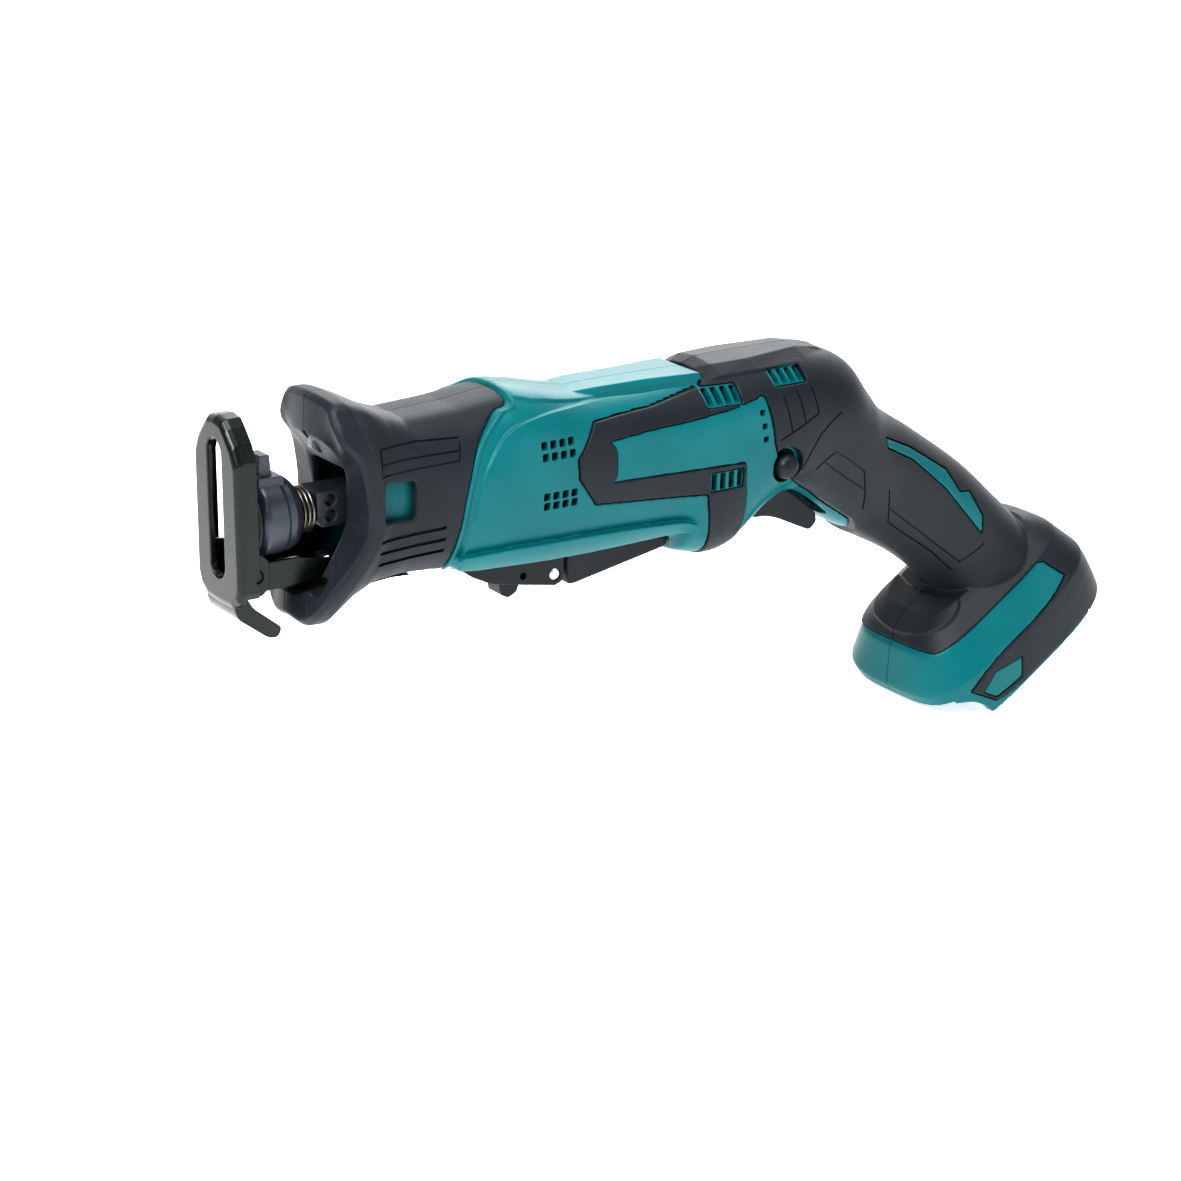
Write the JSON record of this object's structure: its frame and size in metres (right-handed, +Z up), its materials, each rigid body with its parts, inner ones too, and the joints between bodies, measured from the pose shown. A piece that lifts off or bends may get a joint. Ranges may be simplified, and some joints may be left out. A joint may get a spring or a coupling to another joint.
{
  "type": "cordless reciprocating saw",
  "caption": "Compact cordless reciprocating saw: pivoting shoe, quick blade clamp, crank drive, motor, angled rear grip and slide-on battery foot, no battery.",
  "frame": {"origin": "middle of the whole tool's bounding box", "axes": "-X is the way the blade points, along the blade's axis; +Z is up with the blade level; the housing halves meet at y = 0 and -Y is the left side as the user holds it"},
  "size_m": [0.3404, 0.066, 0.1464],
  "materials": {
    "shell_plastic": "moulded, lightly textured teal",
    "grip_rubber": "moulded soft grip, fine matte texture",
    "dark_plastic": "moulded dark grey",
    "blackened_steel": "black coated, slightly glossy",
    "clamp_steel": "dark sintered steel",
    "spring_steel": "drawn wire",
    "bright_steel": "ground",
    "cast_aluminium": "as cast",
    "copper": "turned copper segments",
    "brass": "plain",
    "carbon": "pressed carbon or ferrite",
    "lamp_clear": "clear moulded"
  },
  "bodies": {
    "housing": {"housing_left": "shell_plastic", "housing_right": "shell_plastic", "grip_left": "grip_rubber", "grip_right": "grip_rubber", "front_grip_left": "grip_rubber", "front_grip_right": "grip_rubber", "lamp_lens": "lamp_clear", "crank_bearing": "spring_steel", "gear_case": "cast_aluminium", "gear_case_lid": "cast_aluminium", "plunger_bush": "brass", "dust_seal": "grip_rubber", "lever_casing": "dark_plastic", "lever_pin": "bright_steel", "lever_spring": "spring_steel", "underside_cover": "dark_plastic", "front_bearing": "spring_steel", "motor_can": "blackened_steel", "magnet_left": "carbon", "magnet_right": "carbon", "brush_holder_left": "brass", "brush_holder_right": "brass", "carbon_brush_left": "carbon", "carbon_brush_right": "carbon", "rear_bearing": "spring_steel", "brush_plate": "dark_plastic", "bearing_seat": "dark_plastic", "trigger_spring": "spring_steel", "switch_body": "dark_plastic", "control_board": "shell_plastic", "terminal_block": "dark_plastic", "terminal_positive": "brass", "terminal_negative": "brass"},
    "plunger": {"plunger": "clamp_steel", "clamp_spring": "spring_steel"},
    "clamp": {"clamp_sleeve": "clamp_steel"},
    "crank": {"crank_gear": "bright_steel", "crank_shaft": "bright_steel", "crank_pin": "bright_steel"},
    "rotor": {"motor_pinion": "bright_steel", "motor_shaft": "bright_steel", "cooling_fan": "dark_plastic", "armature_core": "blackened_steel", "commutator": "copper"},
    "shoe_arm": {"shoe_arm": "blackened_steel", "shoe_pivot_pin": "bright_steel"},
    "shoe": {"shoe": "blackened_steel"},
    "lever": {"release_lever": "dark_plastic"},
    "trigger": {"trigger": "dark_plastic"},
    "lock_button": {"lock_button": "dark_plastic"}
  },
  "joints": [
    {"name": "plunger_stroke", "type": "slide", "parent": "housing", "child": "plunger", "axis": [1, 0, 0], "range_m": [0, 0.013]},
    {"name": "clamp_twist", "type": "hinge", "parent": "plunger", "child": "clamp", "pos_m": [-0.15218, 0, 0.03601], "axis": [1, 0, 0], "range_deg": [0, 60], "stiffness_Nm_per_rad": 0.12, "springref_deg": -14.32},
    {"name": "motor_spin", "type": "hinge", "parent": "housing", "child": "rotor", "pos_m": [-0.03018, 0, 0.03301], "axis": [1, 0, 0], "continuous": true},
    {"name": "crank_spin", "type": "hinge", "parent": "housing", "child": "crank", "pos_m": [-0.08368, 0, 0.02601], "axis": [0, 0, 1], "continuous": true},
    {"name": "shoe_reach", "type": "slide", "parent": "housing", "child": "shoe_arm", "axis": [-1, 0, 0], "range_m": [0, 0.016]},
    {"name": "shoe_pivot", "type": "hinge", "parent": "shoe_arm", "child": "shoe", "pos_m": [-0.16218, 0, 0.02051], "axis": [0, 1, 0], "range_deg": [-15, 15]},
    {"name": "lever_swing", "type": "hinge", "parent": "housing", "child": "lever", "pos_m": [-0.05718, 0, 0.00341], "axis": [0, -1, 0], "range_deg": [0, 12], "stiffness_Nm_per_rad": 0.1, "springref_deg": -11.46},
    {"name": "trigger_pull", "type": "slide", "parent": "housing", "child": "trigger", "axis": [0.6293, 0, 0.7771], "range_m": [0, 0.0055], "stiffness_N_per_m": 500, "springref_m": -0.002},
    {"name": "lock_button_push", "type": "slide", "parent": "housing", "child": "lock_button", "axis": [0, 1, 0], "range_m": [0, 0.005]}
  ],
  "couplings": [
    {"joint": "crank_spin", "follows": "motor_spin", "ratio": 0.16667}
  ]
}
